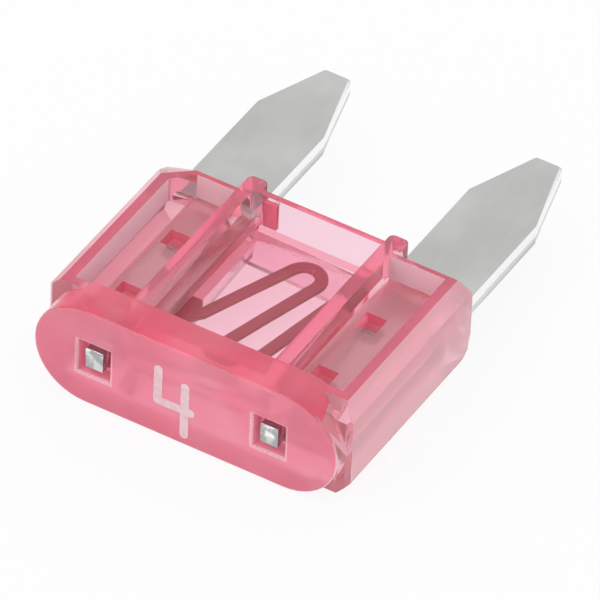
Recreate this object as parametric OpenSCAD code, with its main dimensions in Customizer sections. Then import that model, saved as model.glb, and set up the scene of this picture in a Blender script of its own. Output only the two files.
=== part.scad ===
// Miniature automotive blade fuse, lying on one of its broad faces.
// A clear moulded housing holds one stamped metal strip. The strip's two blades
// leave the housing side by side, and its thin S-shaped link shows through the
// window in the middle. X runs across the two blades, Y from the head to the
// blade tips and Z through the thickness. The origin is under the middle.
// Inside the modules Y counts from the head's front face and Z from the
// fuse's middle plane, so that each size below reads off the part directly.

/* [Head] */
// Distance that each round end of the head stands in from the body's side
head_inset = 0.14; // [0.05:0.01:0.3]
// Thickness of the head
head_t = 3.9; // [3.7:0.02:4.2]
// Depth of the head, from its front face to the pockets
head_depth = 1.45; // [1.2:0.05:1.7]
// Rounding of the head's edges
head_round = 0.16; // [0.1:0.02:0.4]

/* [Body] */
// Width of the body
body_w = 11.68; // [11.4:0.02:12.4]
// Thickness of the body
body_t = 3.6; // [3.4:0.02:3.7]
// Distance from the head's front face to the left and the right shoulder
shoulder_y = [1.1, 0.62]; // [0.5:0.02:1.2]
// How far the bevel on the right shoulder's upper edge runs back
shoulder_slope = 0.5; // [0.2:0.02:0.6]
// Bevel on the upright corners of the shoulders
shoulder_bevel = 0.15; // [0.05:0.01:0.3]
// Distance from the head's front face to the body's rear face
body_len = 8.44; // [8.2:0.02:9]
// Width of the bevel along the body's long edges
edge_bevel_w = 0.44; // [0.2:0.02:0.5]
// Height of that bevel
edge_bevel_h = 0.5; // [0.2:0.02:0.6]
// How far the bevels at the rear end run back along the body
rear_bevel_len = 0.37; // [0.1:0.01:0.45]
// Height of the rear bevel on the upper face
rear_bevel_up = 0.75; // [0.3:0.05:0.9]
// Height of the rear bevel on the lower face
rear_bevel_low = 1.2; // [0.3:0.05:1.3]
// Length of the lead-in on each side at the rear end
lead_in_len = 0.7; // [0.3:0.05:1.2]
// Depth of the lead-in
lead_in = 0.06; // [0.02:0.01:0.15]
// Width of the slanted facet over the upper left and the lower right rear corner
facet_w = 0.9; // [0.5:0.05:1]
// Length of that facet along the rim
facet_len = 0.77; // [0.5:0.01:0.9]
// Slope of the facet, as drop over run
facet_slope = 0.64; // [0.4:0.02:0.8]

/* [Pockets] */
// Width of the rim outside each pocket
rim_w = 0.36; // [0.25:0.01:0.5]
// Depth of each pocket
pocket_depth = 0.97; // [0.7:0.01:1.05]
// Width of the rim behind each pocket
rear_rim_w = 0.17; // [0.12:0.01:0.3]
// Size of the solid corner under each facet
corner_fill = 0.68; // [0.4:0.02:0.8]
// Distance between the inner faces of the two ribs
window_w = 4.84; // [4.6:0.02:4.9]
// Width of each rib
rib_w = 0.5; // [0.4:0.02:0.6]

/* [Window] */
// Depth of the window between the ribs
window_depth = 1.33; // [1.1:0.01:1.36]
// How much each side of the window leans in over its depth
window_draft = 0.28; // [0.05:0.01:0.3]
// Thickness of the wall that closes the window at the rear
window_wall = 0.23; // [0.15:0.01:0.4]
// Width of the post on the window's rear wall
post_w = 0.5; // [0.3:0.05:0.6]
// Distance from the left rib to the post
post_gap = 0.5; // [0.1:0.02:0.6]
// Heights of the post's foot and top above the fuse's middle plane
post_ends = [0.64, 1.68]; // [0.5:0.02:1.75]
// Distance that the post stands off the window's rear wall
post_depth = 0.15; // [0.1:0.01:0.3]

/* [Nubs] */
// Width of the nub at each rib's rear end
nub_w = 0.72; // [0.6:0.02:1]
// Distance that a nub stands out behind the rear face
nub_len = 0.42; // [0.2:0.02:0.6]
// Rounding of a nub's corners
nub_round = 0.2; // [0.1:0.05:0.25]
// Sideways shift of the upper nubs to the right, and of the lower ones to the left
nub_shift = 0.13; // [0:0.01:0.2]

/* [Strip] */
// Overall length, from the head's front face to the blade tips
total_len = 16.3; // [15.8:0.1:17]
// Width of each blade
blade_w = 2.8; // [2.7:0.05:2.85]
// Thickness of the strip
blade_t = 0.8; // [0.7:0.02:0.9]
// Distance between the middles of the two blades
blade_pitch = 8.1; // [8:0.05:8.2]
// Length of the taper on each blade's left edge
taper_left_len = 2.71; // [2:0.05:3.2]
// Length of the taper on each blade's right edge
taper_right_len = 3.1; // [2:0.05:3.6]
// Distance from a blade's middle to the left end of its tip
tip_left = 0.41; // [0.3:0.01:0.6]
// Distance from a blade's middle to the right end of its tip
tip_right = 0.62; // [0.4:0.01:0.8]
// Rounding of the tip's corners
tip_round = 0.2; // [0.1:0.05:0.3]
// Height of the bevel on the tip's upper and lower edge
tip_bevel = 0.14; // [0.05:0.01:0.2]
// Distance from the housing's rear face back to where the blades reach full width
neck_set_back = 0.25; // [0.15:0.01:0.3]
// Width of each side of the strip inside the housing
inner_w = 1.9; // [1.8:0.05:2]
// Sideways shift of the test tabs and the stakes
strip_shift = -0.12; // [-0.15:0.01:0.15]
// Gap between the strip and the housing all round
strip_gap = 0.04; // [0.03:0.005:0.06]
// Depth of the sockets in the head that hold the strip's front end
strip_inset = 0.1; // [0.05:0.01:0.15]

/* [Link] */
// Width of the link
link_w = 0.44; // [0.3:0.02:0.48]
// Thickness of the link
link_t = 0.14; // [0.1:0.02:0.3]
// Radius of the near and the far hairpin, to the link's middle line
hairpin_r = [0.66, 0.57]; // [0.5:0.01:0.7]
// Sideways places of the two hairpins' centres
hairpin_x = [0.23, 0.27]; // [0:0.01:0.4]
// Distances from the head's front face to the two hairpins' centres
hairpin_y = [2.36, 7.08]; // [2.3:0.02:7.3]
// Angle of the link's first and last stretch to the X axis
end_angles = [68.8, 79.2]; // [60:0.2:85]
// Distance from the head's front face to the middles of the link's two roots
root_y = [3.7, 7.1]; // [3:0.02:7.3]
// Length of each root along the strip's side
root_len = 1.2; // [0.8:0.05:1.4]
// Length of the slope from the link's end to the root's full length
root_reach = 0.25; // [0.25:0.01:0.6]
// Gap above and below the link in its chamber
link_gap = 0.14; // [0.05:0.01:0.2]

/* [Test windows] */
// Distance between the middles of the two test tabs
tab_pitch = 6.59; // [6.3:0.01:6.8]
// Width of each test tab
tab_w = 0.66; // [0.5:0.02:0.8]
// Distance from the head's front face to the end of each tab
tab_set_back = 0.05; // [0.02:0.01:0.2]
// Width of each opening around a tab
opening_w = 1.25; // [1.05:0.05:1.4]
// Height of each opening
opening_h = 1.36; // [1.1:0.02:1.6]
// Depth of each opening
opening_depth = 0.45; // [0.3:0.05:0.6]
// How much an opening's sides lean in over its depth
opening_draft = 0.1; // [0.05:0.01:0.12]

/* [Stakes] */
// Width of each stake mark
stake_w = 0.78; // [0.6:0.02:0.9]
// Length of each stake mark
stake_len = 0.76; // [0.6:0.02:1]
// Depth of each stake mark
stake_depth = 0.24; // [0.1:0.01:0.26]
// Distance from the head's front face to the middles of the two rows of stakes
stake_rows = [2.68, 5.72]; // [2:0.02:7]
// Slope of a stake mark's sides, over its depth
stake_draft = 0.15; // [0.05:0.01:0.2]
// Distance between the left and the right row of stakes
stake_pitch = 7.4; // [7.1:0.02:7.5]
// Width of the hole in the strip that a stake fills
stake_hole = 0.5; // [0.4:0.02:0.6]
// Height of each stake's foot over the middle plane
stake_foot = 0.12; // [0.05:0.01:0.2]

/* [Rating mark] */
// Height of the numeral
mark_h = 2.64; // [2:0.02:2.8]
// Width of the numeral
mark_w = 1.56; // [1.3:0.02:2]
// Width of the numeral's strokes
mark_stroke = 0.32; // [0.2:0.01:0.4]
// Height of the numeral's crossbar above its foot
bar_height = 1.17; // [0.8:0.01:1.3]
// How far the upright's top lies below the numeral's top
upright_drop = 0.3; // [0:0.01:0.5]
// How far the crossbar runs on past the upright
bar_tail = 0.38; // [0.2:0.01:0.5]
// Thickness of the print
mark_t = 0.02; // [0.01:0.005:0.04]
// Sideways place of the numeral's middle
mark_x = -0.35; // [-0.6:0.01:0.6]
// Height of the numeral's middle over the fuse's middle plane
mark_z = -0.28; // [-0.4:0.01:0.4]

/* [Hidden] */
$fn = 48;
EPS = 0.5;
ARC_STEPS = 24;
head_w = body_w - 2 * head_inset;
head_r = head_t / 2;
body_z = body_t / 2;
floor_z = body_z - pocket_depth;
window_z = body_z - window_depth;
window_x = window_w / 2;
rib_x = window_x + rib_w;
pocket_x = body_w / 2 - edge_bevel_w - rim_w;
pocket_end = body_len - rear_bevel_len - rear_rim_w;
window_end = body_len - window_wall;
blade_x = blade_pitch / 2;
blade_in = blade_x - blade_w / 2;
inner_out = blade_in + inner_w;
neck_y = body_len - neck_set_back;
chamber_z = link_t / 2 + link_gap;
socket_y = head_depth - strip_inset;
strip_y = socket_y + strip_gap;

// A profile drawn in X and Z, pushed along Y from y0 to y1
module along_y(y0, y1)
  translate([0, y1, 0]) rotate([90, 0, 0]) linear_extrude(y1 - y0) children();

// A profile drawn in Y and Z, pushed along X from x0 to x1
module along_x(x0, x1)
  translate([x0, 0, 0]) rotate([90, 0, 90]) linear_extrude(x1 - x0) children();

// The same thing on both sides of the middle
module both_sides() {
  children();
  mirror([1, 0, 0]) children();
}

// The same thing on the upper and the lower face
module both_faces() {
  children();
  mirror([0, 0, 1]) children();
}

// The same thing again, turned over about the Y axis
module turned_over() {
  children();
  rotate([0, 180, 0]) children();
}

// A block whose four walls lean in towards its floor. It opens at z_top.
module tapered_pit(x, y, w, len, z_top, depth, draft)
  intersection() {
    along_y(y - len, y + len)
      polygon([
        [x - w / 2 + draft, z_top - depth], [x + w / 2 - draft, z_top - depth],
        [x + w / 2 + draft, z_top + depth], [x - w / 2 - draft, z_top + depth]
      ]);
    along_x(x - w, x + w)
      polygon([
        [y - len / 2 + draft, z_top - depth], [y + len / 2 - draft, z_top - depth],
        [y + len / 2 + draft, z_top + depth], [y - len / 2 - draft, z_top + depth]
      ]);
  }

// The head's section, with its rounded front edges, as height over depth
module head_section() {
  inner = head_r - head_round;
  translate([head_round, -head_r]) square([head_depth - head_round, head_t]);
  translate([0, -inner]) square([head_depth, 2 * inner]);
  for (z = [-inner, inner])
    translate([head_round, z]) circle(head_round);
}

// The head: a flat bar with round ends
module head_bar() {
  flat = head_w / 2 - head_r;
  for (side = [-1, 1])
    translate([side * flat, 0, 0]) rotate([-90, 0, 0])
      rotate_extrude($fn = 96)
        intersection() {
          mirror([1, -1]) head_section();
          square([head_t, head_depth]);
        }
  along_x(-flat, flat) head_section();
}

// The body's section across its width, with its bevelled long edges
module body_section()
  polygon([
    [-body_w / 2, -body_z + edge_bevel_h], [-body_w / 2 + edge_bevel_w, -body_z],
    [body_w / 2 - edge_bevel_w, -body_z], [body_w / 2, -body_z + edge_bevel_h],
    [body_w / 2, body_z - edge_bevel_h], [body_w / 2 - edge_bevel_w, body_z],
    [-body_w / 2 + edge_bevel_w, body_z], [-body_w / 2, body_z - edge_bevel_h]
  ]);

// The body seen from above, with its bevelled shoulders and the lead-in at the rear
module body_plan() {
  side = body_w / 2;
  translate([0, 0, -body_t]) linear_extrude(2 * body_t)
    polygon([
      [0, shoulder_y[0]], [0, shoulder_y[1]],
      [side - shoulder_bevel, shoulder_y[1]], [side, shoulder_y[1] + shoulder_bevel],
      [side, body_len - lead_in_len], [side - lead_in, body_len],
      [lead_in - side, body_len], [-side, body_len - lead_in_len],
      [-side, shoulder_y[0] + shoulder_bevel], [shoulder_bevel - side, shoulder_y[0]]
    ]);
}

// What the right shoulder's upper bevel takes off, as height over depth
module shoulder_cut()
  along_x(0, body_w)
    polygon([
      [shoulder_y[1], body_z - edge_bevel_h], [shoulder_y[1] + shoulder_slope, body_z],
      [shoulder_y[1] + shoulder_slope, body_z + EPS], [0, body_z + EPS], [0, body_z - edge_bevel_h]
    ]);

// The material over the facet on the upper left rear corner
module facet_cut()
  translate([edge_bevel_w - body_w / 2, body_len - rear_bevel_len - facet_len, body_z])
    rotate([0, 0, atan2(facet_len, facet_w)])
      along_x(-body_w, body_w)
        polygon([[0, 0], [body_w, -facet_slope * body_w], [body_w, EPS], [0, EPS]]);

// What the bevel at the rear end takes off one face, as height over depth
module rear_bevel(z, drop) {
  out = sign(z) * EPS;
  polygon([
    [body_len - rear_bevel_len, z], [body_len, z - sign(z) * drop],
    [body_len + EPS, z - sign(z) * drop], [body_len + EPS, z + out],
    [body_len - rear_bevel_len, z + out]
  ]);
}

// The body as one block, before anything is cut from it
module body_block()
  difference() {
    intersection() {
      along_y(0, body_len) body_section();
      body_plan();
    }
    shoulder_cut();
    turned_over() facet_cut();
    both_sides()
      along_x(rib_x, body_w) {
        rear_bevel(body_z, rear_bevel_up);
        rear_bevel(-body_z, rear_bevel_low);
      }
  }

// The upper half of a nub, standing out behind the rear face
module nub(side) {
  end = body_len + nub_len;
  translate([side * (window_x + rib_w / 2) + nub_shift - nub_w / 2, 0, 0])
    linear_extrude(body_z)
      union() {
        translate([0, window_end]) square([nub_w, end - nub_round - window_end]);
        translate([nub_round, window_end]) square([nub_w - 2 * nub_round, end - window_end]);
        for (x = [nub_round, nub_w - nub_round])
          translate([x, end - nub_round]) circle(nub_round);
      }
}

// One upper pocket, on the left. Its outer rear corner is solid under the facet.
module left_pocket()
  translate([0, 0, floor_z]) linear_extrude(body_t)
    polygon([
      [-rib_x, head_depth], [-rib_x, pocket_end], [corner_fill - pocket_x, pocket_end],
      [-pocket_x, pocket_end - corner_fill], [-pocket_x, head_depth]
    ]);

// One upper pocket, on the right
module right_pocket()
  translate([rib_x, head_depth, floor_z])
    cube([pocket_x - rib_x, pocket_end - head_depth, body_t]);

// The window's opening above one face of the link's chamber
module window_cut()
  along_y(head_depth, window_end)
    polygon([
      [-window_x + window_draft, window_z], [window_x - window_draft, window_z],
      [window_x, body_z], [window_x, body_z + EPS],
      [-window_x, body_z + EPS], [-window_x, body_z]
    ]);

// The space that the whole strip slides into from the rear
module strip_slot() {
  slot_z = blade_t / 2 + strip_gap;
  both_sides() {
    translate([blade_in - strip_gap, socket_y, -slot_z])
      cube([inner_w + 2 * strip_gap, body_len, 2 * slot_z]);
    translate([blade_in - strip_gap, neck_y - strip_gap, -slot_z])
      cube([blade_w + 2 * strip_gap, body_len, 2 * slot_z]);
  }
  translate([-blade_x, socket_y, -chamber_z]) cube([blade_pitch, body_len, 2 * chamber_z]);
  for (side = [-1, 1])
    translate([strip_shift + side * tab_pitch / 2 - tab_w / 2 - strip_gap, 0, -slot_z])
      cube([tab_w + 2 * strip_gap, strip_y, 2 * slot_z]);
}

// An opening in the head's front face around each test tab
module test_openings()
  for (side = [-1, 1])
    translate([strip_shift + side * tab_pitch / 2, 0, 0])
      rotate([90, 0, 0])
        tapered_pit(0, 0, opening_w, opening_h, 0, opening_depth, opening_draft);

// The middles of the upper face's stakes, as x and y
function stakes() = [for (side = [-1, 1], y = stake_rows) [strip_shift + side * stake_pitch / 2, y]];

// The stem under each stake, which fills the strip's hole
module stake_stems() {
  w = stake_hole - 2 * strip_gap;
  for (p = stakes())
    translate([p[0] - w / 2, p[1] - w / 2, stake_foot]) cube([w, w, floor_z - stake_foot]);
}

module housing()
  color([0.93, 0.42, 0.52])
    difference() {
      union() {
        difference() {
          union() {
            head_bar();
            body_block();
            turned_over() for (side = [-1, 1]) nub(side);
          }
          both_faces() window_cut();
          turned_over() {
            left_pocket();
            right_pocket();
          }
          strip_slot();
          test_openings();
        }
        turned_over()
          translate([post_gap - window_x, window_end - post_depth, post_ends[0]])
            cube([post_w, post_depth + window_wall / 2, post_ends[1] - post_ends[0]]);
        both_faces() stake_stems();
      }
      both_faces()
        for (p = stakes())
          tapered_pit(p[0], p[1], stake_w, stake_len, floor_z, stake_depth, stake_draft);
    }

// The rounded corner at p between the edges towards a and b, as a piece to cut off
module corner_off(p, a, b) {
  to_a = (a - p) / norm(a - p);
  to_b = (b - p) / norm(b - p);
  half = acos(to_a * to_b) / 2;
  run = tip_round / tan(half);
  middle = (to_a + to_b) / norm(to_a + to_b) * tip_round / sin(half);
  difference() {
    polygon([p, p + run * to_a, p + middle, p + run * to_b]);
    translate(p + middle) circle(tip_round);
  }
}

// A blade's outline, from the neck to the tip
module blade_outline(x) {
  left_start = [x - blade_w / 2, total_len - taper_left_len];
  right_start = [x + blade_w / 2, total_len - taper_right_len];
  left_tip = [x - tip_left, total_len];
  right_tip = [x + tip_right, total_len];
  difference() {
    polygon([
      [x - blade_w / 2, neck_y], [x + blade_w / 2, neck_y],
      right_start, right_tip, left_tip, left_start
    ]);
    corner_off(left_tip, left_start, right_tip);
    corner_off(right_tip, left_tip, right_start);
  }
}

// The point at an angle on a circle round c
function on_circle(c, r, angle) = c + r * [cos(angle), sin(angle)];

// Points along an arc round c, from one angle on through a turn in degrees
function arc(c, r, from, turn) =
  [for (i = [0:ARC_STEPS]) on_circle(c, r, from + turn * i / ARC_STEPS)];

// The link: out of one root, round the far hairpin, back round the near one and into the other root
module link() {
  near = [hairpin_x[0], hairpin_y[0]];
  far = [hairpin_x[1], hairpin_y[1]];
  half = link_w / 2;
  apart = far - near;
  cross = atan2(apart[1], apart[0]) - asin((hairpin_r[0] + hairpin_r[1]) / norm(apart));
  far_turn = cross - end_angles[0] - 180;
  near_turn = end_angles[1] - cross + 180;
  first = on_circle(far, hairpin_r[1], end_angles[0] + 90);
  last = on_circle(near, hairpin_r[0], end_angles[1] - 90);
  start = on_circle(first, (root_y[0] - first[1]) / sin(end_angles[0]), end_angles[0]);
  end = on_circle(last, (root_y[1] - last[1]) / sin(end_angles[1]), end_angles[1]);
  polygon(concat(
    [on_circle(start, half, end_angles[0] + 90)],
    arc(far, hairpin_r[1] + half, end_angles[0] + 90, far_turn),
    arc(near, hairpin_r[0] - half, cross + 90, near_turn),
    [on_circle(end, half, end_angles[1] + 90), on_circle(end, half, end_angles[1] - 90)],
    arc(near, hairpin_r[0] + half, end_angles[1] - 90, -near_turn),
    arc(far, hairpin_r[1] - half, cross - 90, -far_turn),
    [on_circle(start, half, end_angles[0] - 90)]
  ));
  root(-1, root_y[0], start);
  root(1, root_y[1], end);
}

// The flared root that joins one end of the link to the strip's side
module root(side, y, tip) {
  outer = side * (blade_in + inner_w / 4);
  reach = tip[0] + side * root_reach;
  polygon([
    [outer, y - side * root_len / 2], [outer, y + side * root_len / 2],
    [reach, y + side * root_len / 2], tip + [side * link_w / 2, side * root_len / 2],
    tip + [-side * link_w / 2, 0], tip + [side * link_w / 4, -side * root_len / 4],
    [reach, y - side * root_len / 2]
  ]);
}

// One side of the strip, with its test tab, its stake holes and its blade
module strip_side(side)
  difference() {
    union() {
      blade_outline(side * blade_x);
      translate([side > 0 ? blade_in : -inner_out, strip_y]) square([inner_w, body_len - strip_y]);
      translate([strip_shift + side * tab_pitch / 2 - tab_w / 2, tab_set_back])
        square([tab_w, head_depth - tab_set_back]);
    }
    for (p = stakes())
      translate(p) square(stake_hole, center = true);
  }

// The strip's full thickness, with its bevelled tip, as height over depth
module strip_profile() {
  edge = blade_t / 2 - tip_bevel;
  polygon([
    [0, -blade_t / 2], [total_len - tip_bevel, -blade_t / 2], [total_len, -edge],
    [total_len, edge], [total_len - tip_bevel, blade_t / 2], [0, blade_t / 2]
  ]);
}

module fuse_element()
  color([0.75, 0.75, 0.74])
    union() {
      intersection() {
        translate([0, 0, -blade_t]) linear_extrude(2 * blade_t)
          for (side = [-1, 1]) strip_side(side);
        along_x(-body_w, body_w) strip_profile();
      }
      translate([0, 0, -link_t / 2]) linear_extrude(link_t) link();
    }

// One stroke of the numeral, with round ends, between two points
module stroke(a, b) {
  run = b - a;
  for (p = [a, b]) translate(p) circle(mark_stroke / 2);
  translate(a) rotate(atan2(run[1], run[0]))
    translate([0, -mark_stroke / 2]) square([norm(run), mark_stroke]);
}

// The numeral 4 with an open top, printed on the head's front face
module rating_mark() {
  left = mark_x - mark_w / 2 + mark_stroke / 2;
  right = mark_x + mark_w / 2 - mark_stroke / 2;
  upright = mark_x + mark_w / 2 - bar_tail;
  foot = mark_z - mark_h / 2 + mark_stroke / 2;
  top = mark_z + mark_h / 2 - mark_stroke / 2;
  bar = mark_z - mark_h / 2 + bar_height;
  color([0.96, 0.86, 0.87])
    along_y(-mark_t, 0) {
      stroke([left, top], [left, bar]);
      stroke([left, bar], [right, bar]);
      stroke([upright, top - upright_drop], [upright, foot]);
    }
}

translate([0, (mark_t - total_len) / 2, head_t / 2]) {
  housing();
  fuse_element();
  rating_mark();
}
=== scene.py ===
import math

import bmesh
import bpy
from mathutils import Matrix, Vector


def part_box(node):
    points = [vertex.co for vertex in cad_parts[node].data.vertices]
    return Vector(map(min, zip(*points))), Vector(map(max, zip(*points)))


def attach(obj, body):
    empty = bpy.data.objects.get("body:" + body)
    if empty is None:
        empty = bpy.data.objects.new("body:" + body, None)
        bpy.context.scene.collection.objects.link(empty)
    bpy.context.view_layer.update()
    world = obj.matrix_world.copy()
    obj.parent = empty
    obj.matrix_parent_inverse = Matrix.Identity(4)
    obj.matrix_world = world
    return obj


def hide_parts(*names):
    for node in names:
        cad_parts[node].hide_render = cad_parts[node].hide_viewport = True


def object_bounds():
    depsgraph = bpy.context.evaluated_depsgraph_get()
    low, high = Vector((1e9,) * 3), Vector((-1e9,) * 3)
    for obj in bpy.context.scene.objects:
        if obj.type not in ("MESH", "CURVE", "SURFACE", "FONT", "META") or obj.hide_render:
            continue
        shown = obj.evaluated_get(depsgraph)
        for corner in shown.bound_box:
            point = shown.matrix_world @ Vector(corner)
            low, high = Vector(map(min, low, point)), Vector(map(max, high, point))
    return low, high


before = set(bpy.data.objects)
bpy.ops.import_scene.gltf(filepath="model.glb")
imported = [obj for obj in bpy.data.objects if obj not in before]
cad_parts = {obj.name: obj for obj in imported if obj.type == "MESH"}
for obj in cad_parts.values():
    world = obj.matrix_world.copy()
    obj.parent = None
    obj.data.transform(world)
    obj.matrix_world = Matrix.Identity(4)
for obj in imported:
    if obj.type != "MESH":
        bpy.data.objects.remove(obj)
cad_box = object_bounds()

# ---------------------------------------------------------------- housing
# The one-piece housing, injection moulded in clear pink plastic: a bar-shaped head, two
# pockets, two ribs and a thin-floored window on each face. The tool leaves a small radius on
# every edge, and skins from clear, over the window, to finely matt, on the head's front.
MM = 0.001
WELD_DISTANCE, FLAT_ANGLE = 0.0005 * MM, math.radians(0.5)
EDGE_RADIUS, EDGE_STEPS, EDGE_ANGLE = 0.05 * MM, 2, math.radians(25)
RIM_RADIUS, RIM_STEPS = 0.08 * MM, 3

# Places on the housing, in mm. The openings and the marks are given by their middles and by
# how far round these a face still belongs to them.
FRONT_Y, FRONT_LAYER = cad_box[0].y / MM, 0.03
MIDDLE_Z = (cad_box[0].z + cad_box[1].z) / 2 / MM
OPENING_X, OPENING_REACH_X, OPENING_REACH_Z = 3.3, 0.85, 0.8
MARK_X, MARK_Y, MARK_REACH = (-3.82, 3.58), (-5.46, -2.42), 0.7
CHAMBER_HALF_WIDTH, CHAMBER_HALF_HEIGHT, CHAMBER_CUT_Y = 2.6, 0.3, -0.11
ROOF_MIN_AREA, LEVEL_TURN = 10, 0.9


def at_opening(place):
    """Whether a place, in mm, is in or beside one of the test openings in the head's front."""
    return (abs(abs(place.x) - OPENING_X) < OPENING_REACH_X
            and abs(place.z - MIDDLE_Z) < OPENING_REACH_Z)


def at_mark(place):
    """Whether a place, in mm, is in or beside one of the stake marks in the pockets' floors."""
    return (min(abs(place.x - k) for k in MARK_X) < MARK_REACH
            and min(abs(place.y - k) for k in MARK_Y) < MARK_REACH)


def moulded_shape(name):
    """The CAD housing, welded, with whole flat faces and rounded rims on its openings."""
    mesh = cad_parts["housing"].data.copy()
    mesh.materials.clear()
    bm = bmesh.new()
    bm.from_mesh(mesh)
    bmesh.ops.remove_doubles(bm, verts=bm.verts, dist=WELD_DISTANCE)
    bmesh.ops.dissolve_limit(bm, angle_limit=FLAT_ANGLE, verts=bm.verts, edges=bm.edges)
    rims = [edge for edge in bm.edges
            if all(at_opening(v.co / MM) and v.co.y / MM < FRONT_Y + FRONT_LAYER
                   for v in edge.verts)]
    bmesh.ops.bevel(bm, geom=rims, offset=RIM_RADIUS, segments=RIM_STEPS, profile=0.5,
                    affect="EDGES")
    bm.to_mesh(mesh)
    bm.free()
    mesh.shade_smooth()
    piece = bpy.data.objects.new(name, mesh)
    bpy.context.scene.collection.objects.link(piece)
    return piece


def cut_chamber_roofs(piece):
    """Cut the link chamber's two long roofs across, so that their rear ends get a finish of
    their own."""
    bm = bmesh.new()
    bm.from_mesh(piece.data)
    roofs = [face for face in bm.faces
             if abs(face.normal.z) > LEVEL_TURN and face.calc_area() > ROOF_MIN_AREA * MM * MM
             and abs(face.calc_center_median().z / MM - MIDDLE_Z) < CHAMBER_HALF_HEIGHT]
    parts = set(roofs)
    for face in roofs:
        parts.update(face.edges)
        parts.update(face.verts)
    bmesh.ops.bisect_plane(bm, geom=list(parts), plane_co=(0, CHAMBER_CUT_Y * MM, 0),
                           plane_no=(0, 1, 0))
    bm.to_mesh(piece.data)
    bm.free()


def round_edges(piece):
    """Round every edge of the moulding and bake the result into its mesh."""
    bevel = piece.modifiers.new("edges", "BEVEL")
    bevel.width = EDGE_RADIUS
    bevel.segments = EDGE_STEPS
    bevel.limit_method = "ANGLE"
    bevel.angle_limit = EDGE_ANGLE
    bevel.use_clamp_overlap = True
    bevel.harden_normals = True
    graph = bpy.context.evaluated_depsgraph_get()
    rounded = bpy.data.meshes.new_from_object(piece.evaluated_get(graph))
    piece.modifiers.clear()
    sharp = piece.data
    piece.data = rounded
    bpy.data.meshes.remove(sharp)


housing = moulded_shape("moulded_housing")
cut_chamber_roofs(housing)
round_edges(housing)


def math_node(tree, operation, a, b=None, c=None):
    """One Math node. Its inputs are sockets or numbers."""
    node = tree.nodes.new("ShaderNodeMath")
    node.operation = operation
    for socket, value in zip(node.inputs, (a, b, c)):
        if isinstance(value, (int, float)):
            socket.default_value = value
        elif value is not None:
            tree.links.new(value, socket)
    return node.outputs[0]


def step_up(tree, value, low, high):
    """0 below low, 1 above high and a smooth rise between."""
    node = tree.nodes.new("ShaderNodeMapRange")
    node.interpolation_type = "SMOOTHSTEP"
    tree.links.new(value, node.inputs["Value"])
    node.inputs["From Min"].default_value = low
    node.inputs["From Max"].default_value = high
    return node.outputs["Result"]


def mix_colour(tree, share, a, b):
    """A mix of two colours, each a socket or three numbers."""
    node = tree.nodes.new("ShaderNodeMix")
    node.data_type = "RGBA"
    tree.links.new(share, node.inputs[0])
    for socket, value in ((node.inputs[6], a), (node.inputs[7], b)):
        if isinstance(value, tuple):
            socket.default_value = (*value, 1)
        else:
            tree.links.new(value, socket)
    return node.outputs[2]


def object_place(tree):
    """A point's place on the piece, in metres."""
    return tree.nodes.new("ShaderNodeTexCoord").outputs["Object"]


def noise(tree, place, scale, stretch=(1.0, 1.0, 1.0), detail=3.0):
    """Noise with so many spots per millimetre, along each axis times a factor."""
    mapping = tree.nodes.new("ShaderNodeMapping")
    mapping.inputs["Scale"].default_value = [factor / MM for factor in stretch]
    tree.links.new(place, mapping.inputs["Vector"])
    node = tree.nodes.new("ShaderNodeTexNoise")
    node.inputs["Scale"].default_value = scale
    node.inputs["Detail"].default_value = detail
    tree.links.new(mapping.outputs["Vector"], node.inputs["Vector"])
    return node.outputs["Fac"]


CLOUD_SCALE, CLOUD_STRETCH, CLOUD_DETAIL = 0.45, (1.0, 0.6, 1.0), 2.0
CLOUD_FROM, CLOUD_TO, CLOUD_PALENESS, CLOUD_SWELL = 0.42, 0.68, 0.08, 2.0
SKIN_GRAIN_SCALE, SKIN_ROUGHNESS_SPREAD = 5.0, 0.06
SKIN_BUMP, SKIN_BUMP_HEIGHT = 0.05, 0.01 * MM


def moulded_surface():
    """Node group: a moulding's clouding, its varying roughness and its faint unevenness."""
    tree = bpy.data.node_groups.new("moulded_surface", "ShaderNodeTree")
    colour, number, vector = "NodeSocketColor", "NodeSocketFloat", "NodeSocketVector"
    for name, kind in (("Colour", colour), ("Cloud Colour", colour), ("Roughness", number)):
        tree.interface.new_socket(name, in_out="INPUT", socket_type=kind)
    for name, kind in (("Colour", colour), ("Roughness", number), ("Normal", vector)):
        tree.interface.new_socket(name, in_out="OUTPUT", socket_type=kind)
    given, result = tree.nodes.new("NodeGroupInput"), tree.nodes.new("NodeGroupOutput")
    place = object_place(tree)
    cloud = step_up(tree, noise(tree, place, CLOUD_SCALE, CLOUD_STRETCH, CLOUD_DETAIL),
                    CLOUD_FROM, CLOUD_TO)
    grain = noise(tree, place, SKIN_GRAIN_SCALE)
    clouded = mix_colour(tree, cloud, given.outputs["Colour"], given.outputs["Cloud Colour"])
    tree.links.new(clouded, result.inputs["Colour"])
    varied = math_node(tree, "MULTIPLY_ADD", grain, SKIN_ROUGHNESS_SPREAD,
                       given.outputs["Roughness"])
    tree.links.new(varied, result.inputs["Roughness"])
    bump = tree.nodes.new("ShaderNodeBump")
    bump.inputs["Strength"].default_value = SKIN_BUMP
    bump.inputs["Distance"].default_value = SKIN_BUMP_HEIGHT
    swollen = math_node(tree, "MULTIPLY_ADD", cloud, CLOUD_SWELL, grain)
    tree.links.new(swollen, bump.inputs["Height"])
    tree.links.new(bump.outputs["Normal"], result.inputs["Normal"])
    return tree


SURFACE = moulded_surface()
DEEP_PINK, DEEP_DENSITY = (0.995, 0.14, 0.34), 215


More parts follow.
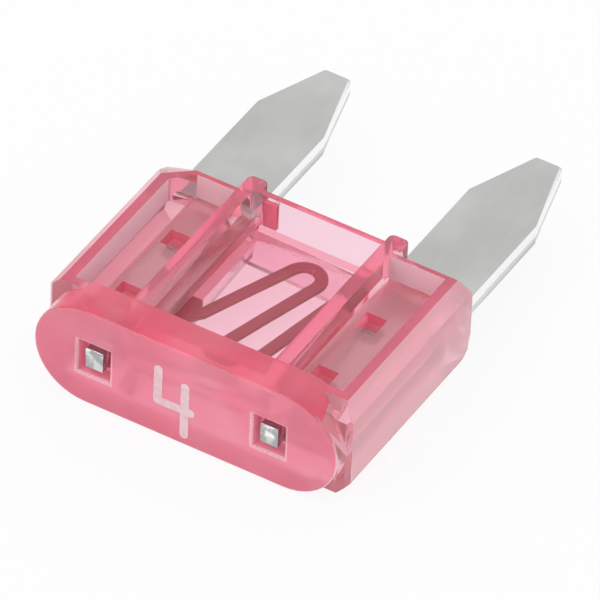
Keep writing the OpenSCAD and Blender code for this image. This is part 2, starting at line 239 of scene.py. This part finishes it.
def pink_plastic(name, tint, rough, clear, index, shine):
    """The housing's plastic in one finish. Its colour deepens with the light's way through it."""
    material = bpy.data.materials.new(name)
    material.use_nodes = True
    nodes, links = material.node_tree.nodes, material.node_tree.links
    shader = nodes["Principled BSDF"]
    surface = nodes.new("ShaderNodeGroup")
    surface.node_tree = SURFACE
    cloudy = (c + (1 - c) * CLOUD_PALENESS for c in tint)
    surface.inputs["Colour"].default_value = (*tint, 1)
    surface.inputs["Cloud Colour"].default_value = (*cloudy, 1)
    surface.inputs["Roughness"].default_value = rough
    links.new(surface.outputs["Colour"], shader.inputs["Base Color"])
    links.new(surface.outputs["Roughness"], shader.inputs["Roughness"])
    links.new(surface.outputs["Normal"], shader.inputs["Normal"])
    shader.inputs["IOR"].default_value = index
    shader.inputs["Specular IOR Level"].default_value = shine
    shader.inputs["Transmission Weight"].default_value = clear
    absorb = nodes.new("ShaderNodeVolumeAbsorption")
    absorb.inputs["Color"].default_value = (*DEEP_PINK, 1)
    absorb.inputs["Density"].default_value = DEEP_DENSITY
    links.new(absorb.outputs["Volume"], nodes["Material Output"].inputs["Volume"])
    return material


# The finishes: name, tint, roughness, clearness, index of refraction and shine. The indices
# are lower than the plastic's own, so that the walls don't mirror each other.
FINISHES = (
    ("hazy_pink_plastic", (1.0, 0.80, 0.86), 0.04, 0.80, 1.28, 0.3),
    ("clear_pink_plastic", (1.0, 0.80, 0.86), 0.03, 0.96, 1.25, 0.5),
    ("frosted_pink_plastic", (0.93, 0.29, 0.40), 0.35, 0.36, 1.28, 0.2),
    ("milky_pink_plastic", (0.91, 0.175, 0.265), 0.2, 0.45, 1.28, 0.15),
    # a lighter pink, painted highlight for the rims of the openings and of the stake marks
    ("painted_highlight_pink_plastic", (1.0, 0.62, 0.70), 0.25, 0.4, 1.25, 0.5),
    ("chamber_wall_plastic", (1.0, 0.9, 0.94), 0.03, 0.97, 1.12, 0.5),
    ("rear_wall_plastic", (1.0, 0.76, 0.85), 0.03, 0.95, 1.12, 0.5),
    # near-white, painted light that lifts the shade on the ribs and the pockets' side faces
    ("painted_light_wall_plastic", (1.0, 0.92, 0.95), 0.04, 0.88, 1.28, 0.3),
    # a deeper pink for the flat rims, partly the plastic's depth and partly painted shade
    ("painted_shade_rim_plastic", (0.95, 0.34, 0.46), 0.1, 0.68, 1.28, 0.1),
    # a paler pink, painted reflection of light off the body's long outer sides
    ("side_wall_painted_reflection_plastic", (1.0, 0.66, 0.73), 0.2, 0.5, 1.28, 0.2),
    # a nearly opaque light pink, painted highlight on the pockets' rear walls and outer walls'
    # inner faces
    ("pocket_wall_painted_highlight_plastic", (1.0, 0.64, 0.71), 0.3, 0.08, 1.28, 0.2),
    ("chamber_end_plastic", (1.0, 0.75, 0.84), 0.03, 0.96, 1.25, 0.5),
)
(HAZY, CLEAR, FROSTED, MILKY, HIGHLIGHT_RIMS, CHAMBER_WALL, REAR_WALL, LIGHTENED_WALL, SHADED_RIM, SIDE_REFLECTION,
 POCKET_WALL_HIGHLIGHT, CHAMBER_END) = range(len(FINISHES))


def over(limit):
    return limit, math.inf


def under(limit):
    return -math.inf, limit


# Where the finishes lie, the first that fits. Places are in mm: x and y in the frame, "aside"
# and "level" from the middle, either way. The turns say how far a face looks to the front, to
# the outside, to either side, to either end, and up or down; 1 is straight there.
YES = over(0.5)
FINISH_PLACES = (
    # the openings' rims in painted highlight, the head's front and the openings' walls
    (HIGHLIGHT_RIMS, {"opening": YES, "y": under(FRONT_Y + 0.12), "front": (0.1, 0.98)}),
    (FROSTED, {"y": under(FRONT_Y + 0.2), "front": over(0.6)}),
    (FROSTED, {"opening": YES, "y": under(-7.2)}),
    # the stake marks' rims in painted highlight, and their walls
    (HIGHLIGHT_RIMS, {"mark": YES, "level": (0.79, 0.9), "up": (0.15, 0.97)}),
    (MILKY, {"mark": YES, "level": (0.45, 0.79)}),
    # the body's outer sides, paler as painted reflection, the head's broad faces, and the flat
    # rims, deep pink partly from the plastic's depth and partly painted shade
    (SIDE_REFLECTION, {"aside": over(5.2), "y": over(-7.3), "side": over(0.4)}),
    (MILKY, {"level": over(1.55), "y": under(-6.6), "up": over(0.5)}),
    (SHADED_RIM, {"level": over(1.7), "up": over(0.95)}),
    # the chamber's walls and the post on the rear wall
    (CHAMBER_WALL, {"aside": under(CHAMBER_HALF_WIDTH), "level": under(CHAMBER_HALF_HEIGHT),
                    "up": under(0.5)}),
    (MILKY, {"x": (-1.97, -1.37), "y": (-0.13, 0.05), "level": (0.55, 1.75)}),
    # the pockets' rear walls and their outer walls' inner faces, in a nearly opaque light pink of
    # painted highlight
    (POCKET_WALL_HIGHLIGHT, {"aside": over(2.9), "y": (-0.45, -0.1), "front": over(0.5)}),
    (POCKET_WALL_HIGHLIGHT, {"aside": (4.9, 5.12), "y": (-6.8, 0.25), "outside": under(-0.3)}),
    # the chamber's roofs by the rear wall, and the faces round the strip
    (CHAMBER_END, {"aside": under(CHAMBER_HALF_WIDTH), "y": over(CHAMBER_CUT_Y),
                   "level": under(CHAMBER_HALF_HEIGHT), "up": over(LEVEL_TURN)}),
    (CLEAR, {"aside": under(5.2), "y": over(-7.5), "level": under(0.6), "end": under(0.5)}),
    # the rear wall, and the ribs with the pockets' other side faces, these in a near-white tint of
    # painted light that lifts their shade
    (REAR_WALL, {"aside": under(2.5), "y": over(-0.5)}),
    (LIGHTENED_WALL, {"aside": under(5.15), "y": (-6.8, 0.25), "side": over(0.6)}),
)


def finish_of(face):
    """The finish of one of the housing's faces, by its place and the way it looks."""
    place, normal = face.center / MM, face.normal
    found = {
        "opening": at_opening(place), "mark": at_mark(place), "x": place.x, "y": place.y,
        "aside": abs(place.x), "level": abs(place.z - MIDDLE_Z),
        "front": -normal.y, "outside": normal.x * math.copysign(1, place.x),
        "side": abs(normal.x), "end": abs(normal.y), "up": abs(normal.z),
    }
    for finish, ranges in FINISH_PLACES:
        if all(low < found[name] < high for name, (low, high) in ranges.items()):
            return finish
    return HAZY


for finish in FINISHES:
    housing.data.materials.append(pink_plastic(*finish))
for face in housing.data.polygons:
    face.material_index = finish_of(face)
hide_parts("housing")
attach(housing, "root")

# ---------------------------------------------------------------- strip
# The strip, stamped from 0.8 mm sheet: two blades, two test tabs and the link's two roots. The
# blades are plated, and coined towards the tip. The punch leaves each cut edge with a
# rolled-over upper rim and a bright burnished band, over a slightly inset band coloured darker
# grey.

# Sizes in mm. Y is counted from the head's front face, and Z from the sheet's middle.
HEAD_FRONT_Y, SHEET_MIDDLE_Z, HALF_SHEET = -8.14, 1.95, 0.4
BLADE_TIP_Y, BLADE_START_Y, STRIP_START_Y, TAB_END_Y = 16.3, 8.19, 1.39, 0.05
SIDE_INNER_X, SIDE_OUTER_X, BLADE_OUTER_X, BLADE_WIDTH = 2.65, 4.55, 5.45, 2.8
TAPER_LEFT, TAPER_RIGHT, TIP_LEFT, TIP_RIGHT, TIP_ROUND = 2.71, 3.1, -0.41, 0.62, 0.2
TAB_LEFT, TAB_RIGHT = (-3.745, -3.085), (2.845, 3.505)
HOLE_X, HOLE_Y, HOLE_SIZE = MARK_X, (2.68, 5.72), 0.5
ROLL_OVER_IN, ROLL_OVER_DOWN, ROLL_STEPS = 0.03, 0.035, 4
BREAK_Z, BREAK_IN, BURR_IN, BURR_HEIGHT = -0.04, (0.008, 0.012), 0.03, 0.02
COINED_LEN, COINED_IN, COINED_Z = 3.0, 0.13, 0.26
SAME_HEIGHT, STRIP_SHARP_ANGLE = 0.001, math.radians(32)


def in_frame(x, y, z):
    """A point counted from the head's front face and the sheet's middle, in the frame."""
    return Vector((x, y + HEAD_FRONT_Y, z + SHEET_MIDDLE_Z)) * MM


def filleted(outline, corners, radius, steps=6):
    """The outline with the numbered corners rounded."""
    result = []
    for index, point in enumerate(outline):
        if index not in corners:
            result.append(Vector(point))
            continue
        corner = Vector(point)
        before = (Vector(outline[index - 1]) - corner).normalized()
        after = (Vector(outline[(index + 1) % len(outline)]) - corner).normalized()
        half = before.angle(after) / 2
        middle = corner + (before + after).normalized() * radius / math.sin(half)
        first = corner + before * radius / math.tan(half) - middle
        last = corner + after * radius / math.tan(half) - middle
        for k in range(steps + 1):
            result.append(middle + first.slerp(last, k / steps).normalized() * radius)
    return result


def inset(outline, distance, coined):
    """The outline, counter-clockwise, moved in by a distance that grows towards the tip."""
    result = []
    for index, point in enumerate(outline):
        along = (point - outline[index - 1]).normalized()
        onward = (outline[(index + 1) % len(outline)] - point).normalized()
        normal_a, normal_b = Vector((-along.y, along.x)), Vector((-onward.y, onward.x))
        bisector = (normal_a + normal_b).normalized()
        near_tip = min(1.0, max(0.0, 1 - (BLADE_TIP_Y - point.y) / COINED_LEN))
        result.append(point + bisector * (distance + coined * near_tip) / bisector.dot(normal_a))
    return result


def ring(bm, outline, z):
    """One closed row of vertices."""
    return [bm.verts.new(in_frame(p.x, p.y, z)) for p in outline]


def join_rings(bm, upper, lower, smooth=True):
    """The wall between two closed rows."""
    for k in range(len(upper)):
        face = bm.faces.new((upper[k - 1], upper[k], lower[k], lower[k - 1]))
        face.smooth = smooth


def ring_edges(bm, row):
    """The edges of one closed row."""
    return [bm.edges.get((row[k - 1], row[k])) for k in range(len(row))]


def cut_profile():
    """How far the cut edge lies in, and at what height, from the rolled rim to the burr."""
    turns = [math.pi / 2 * k / ROLL_STEPS for k in range(ROLL_STEPS + 1)]
    rolled = [(ROLL_OVER_IN * (1 - math.sin(turn)),
               HALF_SHEET - ROLL_OVER_DOWN * (1 - math.cos(turn))) for turn in turns]
    return rolled + [(0, COINED_Z), (0, BREAK_Z), (BREAK_IN[0], -COINED_Z),
                     (BREAK_IN[1], BURR_HEIGHT - HALF_SHEET), (BURR_IN, -HALF_SHEET)]


def coining(z):
    """How far the coined tip's rim lies in at a height."""
    return COINED_IN * max(0.0, abs(z) - COINED_Z) / (HALF_SHEET - COINED_Z)


def side_outline(side):
    """One side of the strip seen from above: its tab, its body and its blade."""
    middle = side * (SIDE_INNER_X + BLADE_OUTER_X) / 2
    left, right = middle - BLADE_WIDTH / 2, middle + BLADE_WIDTH / 2
    tab = TAB_RIGHT if side > 0 else TAB_LEFT
    tip = [(right, BLADE_TIP_Y - TAPER_RIGHT), (middle + TIP_RIGHT, BLADE_TIP_Y),
           (middle + TIP_LEFT, BLADE_TIP_Y), (left, BLADE_TIP_Y - TAPER_LEFT)]
    base = [(tab[0], TAB_END_Y), (tab[1], TAB_END_Y), (tab[1], STRIP_START_Y)]
    close = [(tab[0], STRIP_START_Y)]
    shoulder = [(side * SIDE_OUTER_X, STRIP_START_Y), (side * SIDE_OUTER_X, BLADE_START_Y)]
    if side > 0:
        points = (base + shoulder + [(right, BLADE_START_Y)] + tip + [(left, STRIP_START_Y)]
                  + close)
    else:
        points = (base + [(right, STRIP_START_Y)] + tip + [(left, BLADE_START_Y)]
                  + shoulder[::-1] + close)
    corners = [k for k, point in enumerate(points) if point[1] == BLADE_TIP_Y]
    return filleted(points, corners, TIP_ROUND)


def add_side(bm, side):
    """One side of the strip, with its cut edge and the two holes that the stakes fill."""
    outline = side_outline(side)
    rows = [ring(bm, inset(outline, d, coining(z)), z) for d, z in cut_profile()]
    for upper, lower in zip(rows, rows[1:]):
        join_rings(bm, upper, lower)
    caps = [ring_edges(bm, rows[0]), ring_edges(bm, rows[-1])]
    hole_x, half = HOLE_X[side > 0], HOLE_SIZE / 2
    for hole_y in HOLE_Y:
        square = [Vector((hole_x + i * half, hole_y + j * half))
                  for i, j in ((-1, -1), (-1, 1), (1, 1), (1, -1))]
        high, low = (ring(bm, square, z) for z in (HALF_SHEET, -HALF_SHEET))
        join_rings(bm, high, low, smooth=False)
        caps[0] += ring_edges(bm, high)
        caps[1] += ring_edges(bm, low)
    for edges in caps:
        bmesh.ops.triangle_fill(bm, use_beauty=True, edges=edges)


LINK_WIDTH, LINK_THICKNESS, LINE_STEPS = 0.44, 0.14, 28
NEAR, NEAR_RADIUS, FAR, FAR_RADIUS = Vector((0.23, 2.36)), 0.66, Vector((0.27, 7.08)), 0.57
FIRST_ANGLE, LAST_ANGLE = math.radians(68.8), math.radians(79.2)
ROOT_Y, ROOT_LEN, ROOT_REACH, ROOT_OVERLAP = (3.7, 7.1), 1.2, 0.25, 0.475


def polar(angle, length):
    """A flat step of a length in a direction."""
    return Vector((math.cos(angle), math.sin(angle))) * length


def link_line():
    """The link's middle line: straight, round the far hairpin, across, round the near one and
    straight again."""
    apart, quarter = FAR - NEAR, math.pi / 2
    cross = math.atan2(apart.y, apart.x) - math.asin((NEAR_RADIUS + FAR_RADIUS) / apart.length)
    far_turn, near_turn = cross - FIRST_ANGLE - math.pi, LAST_ANGLE - cross + math.pi
    far = [FAR + polar(FIRST_ANGLE + quarter + far_turn * k / LINE_STEPS, FAR_RADIUS)
           for k in range(LINE_STEPS + 1)]
    near = [NEAR + polar(cross + quarter + near_turn * k / LINE_STEPS, NEAR_RADIUS)
            for k in range(LINE_STEPS + 1)]
    start = far[0] + polar(FIRST_ANGLE, (ROOT_Y[0] - far[0].y) / math.sin(FIRST_ANGLE))
    end = near[-1] + polar(LAST_ANGLE, (ROOT_Y[1] - near[-1].y) / math.sin(LAST_ANGLE))
    return [start] + far + near + [end]


def add_root(bm, side, root_y, tip):
    """The flared root that joins one side of the strip to an end of the link."""
    outer, reach = side * (SIDE_INNER_X + ROOT_OVERLAP), tip.x + side * ROOT_REACH
    wide, half = side * ROOT_LEN / 2, side * LINK_WIDTH / 2
    shape = [Vector((outer, root_y - wide)), Vector((outer, root_y + wide)),
             Vector((reach, root_y + wide)), tip + Vector((half, wide)),
             tip + Vector((-half, 0)), tip + Vector((half / 2, -wide / 2)),
             Vector((reach, root_y - wide))]
    high, low = (ring(bm, shape, z) for z in (LINK_THICKNESS / 2, -LINK_THICKNESS / 2))
    join_rings(bm, high, low, smooth=False)
    bm.faces.new(high)
    bm.faces.new(low)


def at_break(edge):
    """Whether an edge lies along the line where the burnished band ends."""
    return all(abs(v.co.z / MM - SHEET_MIDDLE_Z - BREAK_Z) < SAME_HEIGHT for v in edge.verts)


middle_line = link_line()
bm = bmesh.new()
for side in (-1, 1):
    add_side(bm, side)
add_root(bm, -1, ROOT_Y[0], middle_line[0])
add_root(bm, 1, ROOT_Y[1], middle_line[-1])
bmesh.ops.recalc_face_normals(bm, faces=bm.faces)
for edge in bm.edges:
    edge.smooth = (edge.is_manifold and edge.calc_face_angle() < STRIP_SHARP_ANGLE
                   and not at_break(edge))
strip_mesh = bpy.data.meshes.new("stamped_strip")
bm.to_mesh(strip_mesh)
bm.free()
strip = bpy.data.objects.new("stamped_strip", strip_mesh)
bpy.context.scene.collection.objects.link(strip)

# The broad faces: plating in faint patches, with streaks along the rolled sheet.
DULL_PLATE, BRIGHT_PLATE, PLATE_ROUGHNESS = (0.46, 0.46, 0.455), (0.54, 0.54, 0.53), 0.22
PATCH_SCALE, PATCH_FROM, PATCH_TO = 0.35, 0.3, 0.7
STREAK_COLOUR, STREAK_SHARE, STREAK_ROUGHNESS = (0.72, 0.72, 0.71), 0.16, 0.16
STREAK_SCALE, STREAK_STRETCH = 6.0, (1.0, 0.12, 1.0)
STREAK_BUMP, STREAK_DEPTH = 0.25, 0.004 * MM

# The cut edges: a burnished band over a darker grey one, a torn line between them, and painted
# shade in patches on the test tabs' ends. CUT_TURN is how level a face is where the plating
# gives way to the cut.
BURNISHED_EDGE, GREY_LOWER_EDGE, TAB_END_SHADE = (0.98,) * 3, (0.70,) * 3, (0.42, 0.43, 0.43)
GREY_LOWER_SHARE, BAND_BLUR, CUT_TURN = 0.45, 0.02 * MM, (0.3, 0.75)
TEAR_SCALE, TEAR_STRETCH, TEAR_HEIGHT = 3.5, (1.0, 1.0, 0.5), 0.12 * MM
TAB_SHADE_SCALE, TAB_SHADE_DETAIL, TAB_SHADE_FROM, TAB_SHADE_TO = 2.2, 2.0, 0.42, 0.6
TAB_SHADE_Y = (-7.9 * MM, -7.8 * MM)

# The metal inside the housing has no plating, and on the link it is painted a dark red, as
# painted shade for its chamber. Each place is where a change begins and ends.
HOUSED_METAL, LINK_PAINTED_SHADE = (0.70, 0.45, 0.45), (0.42, 0.08, 0.105)
HOUSED_FROM_Y, HOUSED_TO_Y = (-6.8 * MM, -6.6 * MM), (0.2 * MM, 0.4 * MM)
LINK_METAL_X, LINK_METAL_Y = (2.4 * MM, 2.7 * MM), (0.4 * MM, 0.6 * MM)


def step_down(tree, value, low, high):
    """1 below low, 0 above high and a smooth fall between."""
    return math_node(tree, "SUBTRACT", 1.0, step_up(tree, value, low, high))


def both(tree, a, b):
    """One share times another, so only where both are."""
    return math_node(tree, "MULTIPLY", a, b)


def parts_of(tree, vector):
    """The X, Y and Z of a vector."""
    node = tree.nodes.new("ShaderNodeSeparateXYZ")
    tree.links.new(vector, node.inputs[0])
    return node.outputs


def strip_metal():
    """Plated sheet with rolling streaks, cut edges in two bands, warmer metal inside, and painted
    shade on the link and on the test tabs' ends.
    """
    material = bpy.data.materials.new("plated_strip")
    material.use_nodes = True
    tree = material.node_tree
    shader = tree.nodes["Principled BSDF"]
    place = object_place(tree)
    x, y, z = parts_of(tree, place)
    _, _, up = parts_of(tree, tree.nodes.new("ShaderNodeNewGeometry").outputs["Normal"])

    streaks = noise(tree, place, STREAK_SCALE, STREAK_STRETCH)
    patches = step_up(tree, noise(tree, place, PATCH_SCALE), PATCH_FROM, PATCH_TO)
    plate = mix_colour(tree, patches, DULL_PLATE, BRIGHT_PLATE)
    plate = mix_colour(tree, both(tree, streaks, STREAK_SHARE), plate, STREAK_COLOUR)

    sheet_low, sheet_high = (corner.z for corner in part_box("fuse_element"))
    grey_lower_top = sheet_low + GREY_LOWER_SHARE * (sheet_high - sheet_low)
    torn = noise(tree, place, TEAR_SCALE, TEAR_STRETCH)
    tear = math_node(tree, "MULTIPLY_ADD", torn, TEAR_HEIGHT, -TEAR_HEIGHT / 2)
    burnished = step_up(tree, math_node(tree, "ADD", z, tear), grey_lower_top - BAND_BLUR,
                        grey_lower_top + BAND_BLUR)
    cut = mix_colour(tree, burnished, GREY_LOWER_EDGE, BURNISHED_EDGE)
    spots = noise(tree, place, TAB_SHADE_SCALE, detail=TAB_SHADE_DETAIL)
    # painted shade in patches on the test tabs' ends
    tab_shade = both(tree, step_down(tree, y, *TAB_SHADE_Y), step_up(tree, spots, TAB_SHADE_FROM, TAB_SHADE_TO))
    cut = mix_colour(tree, tab_shade, cut, TAB_END_SHADE)

    at_cut = step_down(tree, math_node(tree, "ABSOLUTE", up), *CUT_TURN)
    housed = both(tree, step_down(tree, y, *HOUSED_TO_Y), step_up(tree, y, *HOUSED_FROM_Y))
    at_link = both(tree, step_down(tree, math_node(tree, "ABSOLUTE", x), *LINK_METAL_X),
                   step_down(tree, y, *LINK_METAL_Y))
    colour = mix_colour(tree, at_cut, plate, cut)
    colour = mix_colour(tree, housed, colour, HOUSED_METAL)
    # the link painted dark red: painted shade for the chamber it hangs in
    colour = mix_colour(tree, at_link, colour, LINK_PAINTED_SHADE)
    tree.links.new(colour, shader.inputs["Base Color"])
    shader.inputs["Metallic"].default_value = 1.0
    rough = math_node(tree, "MULTIPLY_ADD", streaks, STREAK_ROUGHNESS, PLATE_ROUGHNESS)
    tree.links.new(rough, shader.inputs["Roughness"])
    bump = tree.nodes.new("ShaderNodeBump")
    bump.inputs["Strength"].default_value = STREAK_BUMP
    bump.inputs["Distance"].default_value = STREAK_DEPTH
    tree.links.new(streaks, bump.inputs["Height"])
    tree.links.new(bump.outputs["Normal"], shader.inputs["Normal"])
    return material


metal = strip_metal()
strip.data.materials.append(metal)
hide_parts("fuse_element")
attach(strip, "root")

# ---------------------------------------------------------------- link
# The link, the strip's thin middle that melts: one S-shaped ribbon of the same metal, stamped
# with the strip and thinned, with softened edges. It runs from root to root round two
# hairpins and hangs free in the housing's chamber.
LINK_CORNER, CORNER_STEPS, LINK_SHARP_ANGLE = 0.03, 3, math.radians(35)


def ribbon_along_line():
    """Geometry Nodes tree: a flat ribbon with rounded corners along a row of points."""
    tree = bpy.data.node_groups.new("ribbon_along_line", "GeometryNodeTree")
    tree.interface.new_socket("Geometry", in_out="INPUT", socket_type="NodeSocketGeometry")
    sizes = {name: tree.interface.new_socket(name, in_out="INPUT", socket_type="NodeSocketFloat")
             for name in ("Width", "Thickness", "Corner Radius")}
    tree.interface.new_socket("Geometry", in_out="OUTPUT", socket_type="NodeSocketGeometry")
    given, result = tree.nodes.new("NodeGroupInput"), tree.nodes.new("NodeGroupOutput")
    curve = tree.nodes.new("GeometryNodeMeshToCurve")
    level = tree.nodes.new("GeometryNodeSetCurveNormal")
    level.mode = "Z_UP"
    section = tree.nodes.new("GeometryNodeCurvePrimitiveQuadrilateral")
    rounded = tree.nodes.new("GeometryNodeFilletCurve")
    rounded.mode = "POLY"
    rounded.inputs["Count"].default_value = CORNER_STEPS
    swept = tree.nodes.new("GeometryNodeCurveToMesh")
    swept.inputs["Fill Caps"].default_value = True
    real = tree.nodes.new("GeometryNodeRealizeInstances")
    skin = tree.nodes.new("GeometryNodeSetMaterial")
    skin.inputs["Material"].default_value = metal
    for source, target in (
            (given.outputs["Geometry"], curve.inputs["Mesh"]),
            (curve.outputs["Curve"], level.inputs["Curve"]),
            (given.outputs["Width"], section.inputs["Width"]),
            (given.outputs["Thickness"], section.inputs["Height"]),
            (section.outputs["Curve"], rounded.inputs["Curve"]),
            (given.outputs["Corner Radius"], rounded.inputs["Radius"]),
            (level.outputs["Curve"], swept.inputs["Curve"]),
            (rounded.outputs["Curve"], swept.inputs["Profile Curve"]),
            (swept.outputs["Mesh"], real.inputs["Geometry"]),
            (real.outputs["Geometry"], skin.inputs["Geometry"]),
            (skin.outputs["Geometry"], result.inputs["Geometry"])):
        tree.links.new(source, target)
    return tree, sizes


line_mesh = bpy.data.meshes.new("link")
line_mesh.from_pydata([in_frame(p.x, p.y, 0) for p in middle_line],
                      [(k, k + 1) for k in range(len(middle_line) - 1)], [])
link = bpy.data.objects.new("link", line_mesh)
bpy.context.scene.collection.objects.link(link)
maker = link.modifiers.new("ribbon", "NODES")
maker.node_group, ribbon_sizes = ribbon_along_line()
for name, size in (("Width", LINK_WIDTH), ("Thickness", LINK_THICKNESS),
                   ("Corner Radius", LINK_CORNER)):
    maker[ribbon_sizes[name].identifier] = size * MM
graph = bpy.context.evaluated_depsgraph_get()
link_mesh = bpy.data.meshes.new_from_object(link.evaluated_get(graph))
link.modifiers.clear()
link.data = link_mesh
bpy.data.meshes.remove(line_mesh)
link_mesh.shade_smooth()
link_mesh.set_sharp_from_angle(angle=LINK_SHARP_ANGLE)
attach(link, "root")

# ---------------------------------------------------------------- numeral
# The numeral on the head's front: a thin film of pale ink, pad printed on the matt plastic.
# The film is thinner in spots, where the pink shows through. Its shape is the CAD node's own.
THIN_INK, FULL_INK = (0.80, 0.52, 0.57), (0.83, 0.62, 0.65)
INK_SPOT_SCALE, INK_SPOT_DETAIL, INK_FROM, INK_TO = 4.0, 4.0, 0.35, 0.6
INK_ROUGHNESS, FULL_INK_ROUGHNESS = 0.4, 0.15

ink = bpy.data.materials.new("printed_ink")
ink.use_nodes = True
tree = ink.node_tree
shader = tree.nodes["Principled BSDF"]
spots = noise(tree, object_place(tree), INK_SPOT_SCALE, detail=INK_SPOT_DETAIL)
cover = step_up(tree, spots, INK_FROM, INK_TO)
tree.links.new(mix_colour(tree, cover, THIN_INK, FULL_INK), shader.inputs["Base Color"])
ink_roughness = math_node(tree, "MULTIPLY_ADD", cover, FULL_INK_ROUGHNESS, INK_ROUGHNESS)
tree.links.new(ink_roughness, shader.inputs["Roughness"])
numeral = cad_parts["rating_mark"]
numeral.data.materials.clear()
numeral.data.materials.append(ink)

# ---------------------------------------------------------------- stage
# A white table in a white room. Camera, glossy and transmitted rays see plain white, and the
# table keeps a little of the fuse's shadow. Two soft lamps stand at the front left.
TABLE_HALF, TABLE_Z, TABLE_PAINT, TABLE_ROUGHNESS = 0.4, -0.01 * MM, (0.9, 0.9, 0.9), 0.6
TABLE_GLOW_SHARE, ROOM_DIMMING = 0.9, 0.05
LAMP_DISTANCE = 0.2

bpy.context.scene.view_settings.view_transform = "Standard"
cycles = bpy.context.scene.cycles
cycles.max_bounces = 32
cycles.transmission_bounces = 32
cycles.glossy_bounces = 16

world = bpy.data.worlds.new("studio")
bpy.context.scene.world = world
world.use_nodes = True
tree = world.node_tree
background = tree.nodes["Background"]
background.inputs["Color"].default_value = (1, 1, 1, 1)
path = tree.nodes.new("ShaderNodeLightPath")
dimmed = math_node(tree, "MULTIPLY", path.outputs["Is Diffuse Ray"], ROOM_DIMMING)
tree.links.new(math_node(tree, "SUBTRACT", 1.0, dimmed), background.inputs["Strength"])


def soft_lamp(name, size, power, direction):
    """A square lamp that stands in a direction from the origin and looks at it."""
    lamp = bpy.data.objects.new(name, bpy.data.lights.new(name, "AREA"))
    lamp.data.size = size
    lamp.data.energy = power
    bpy.context.scene.collection.objects.link(lamp)
    place = Vector(direction).normalized() * LAMP_DISTANCE
    turn = place.to_track_quat("Z", "Y").to_matrix().to_4x4()
    lamp.matrix_world = Matrix.Translation(place) @ turn
    return lamp


soft_lamp("key_lamp", 80 * MM, 0.03, (-0.42, -0.55, 0.72))
glint = soft_lamp("glint_lamp", 60 * MM, 0.2, (-0.365, -0.3, 0.88))
glint.visible_diffuse = False
glint.visible_transmission = False

table_mesh = bpy.data.meshes.new("table")
table_mesh.from_pydata([(i * TABLE_HALF, j * TABLE_HALF, TABLE_Z)
                        for i, j in ((-1, -1), (1, -1), (1, 1), (-1, 1))], [], [(0, 1, 2, 3)])
table = bpy.data.objects.new("table", table_mesh)
bpy.context.scene.collection.objects.link(table)
paint = bpy.data.materials.new("white_table")
paint.use_nodes = True
tree = paint.node_tree
shader = tree.nodes["Principled BSDF"]
shader.inputs["Base Color"].default_value = (*TABLE_PAINT, 1)
shader.inputs["Roughness"].default_value = TABLE_ROUGHNESS
glow = tree.nodes.new("ShaderNodeEmission")
glow.inputs["Strength"].default_value = 1.0
path = tree.nodes.new("ShaderNodeLightPath")
seen = math_node(tree, "MAXIMUM", path.outputs["Is Camera Ray"], path.outputs["Is Glossy Ray"])
seen = math_node(tree, "MAXIMUM", seen, path.outputs["Is Transmission Ray"])
mix = tree.nodes.new("ShaderNodeMixShader")
tree.links.new(math_node(tree, "MULTIPLY", seen, TABLE_GLOW_SHARE), mix.inputs[0])
tree.links.new(shader.outputs[0], mix.inputs[1])
tree.links.new(glow.outputs[0], mix.inputs[2])
tree.links.new(mix.outputs[0], tree.nodes["Material Output"].inputs["Surface"])
table.data.materials.append(paint)

# ---------------------------------------------------------------- camera
# The photograph's view, fitted to the blades, the head and the body. The picture is 600
# pixels wide, and the focal length is in the same pixels.
AZIMUTH, ELEVATION, ROLL = (math.radians(angle) for angle in (29.246, 41.546, 2.606))
VIEW_DISTANCE, VIEW_TARGET = 379.7 * MM, Vector((0.628, -1.918, 1.95)) * MM
FOCAL_PIXELS, PICTURE_PIXELS, SENSOR_WIDTH = 11688.9, 600, 36
CLIP_START, CLIP_END = 0.05, 2

back = Vector((math.sin(AZIMUTH) * math.cos(ELEVATION), -math.cos(AZIMUTH) * math.cos(ELEVATION),
               math.sin(ELEVATION)))
right = Vector((math.cos(AZIMUTH), math.sin(AZIMUTH), 0))
up = back.cross(right)
turned_right = math.cos(ROLL) * right + math.sin(ROLL) * up
turned_up = math.cos(ROLL) * up - math.sin(ROLL) * right
camera = bpy.data.objects.new("camera", bpy.data.cameras.new("camera"))
bpy.context.scene.collection.objects.link(camera)
bpy.context.scene.camera = camera
camera.data.sensor_width = SENSOR_WIDTH
camera.data.lens = FOCAL_PIXELS / PICTURE_PIXELS * SENSOR_WIDTH
camera.data.clip_start = CLIP_START
camera.data.clip_end = CLIP_END
camera.matrix_world = Matrix.Translation(VIEW_TARGET + back * VIEW_DISTANCE) @ Matrix(
    (turned_right, turned_up, back)).transposed().to_4x4()
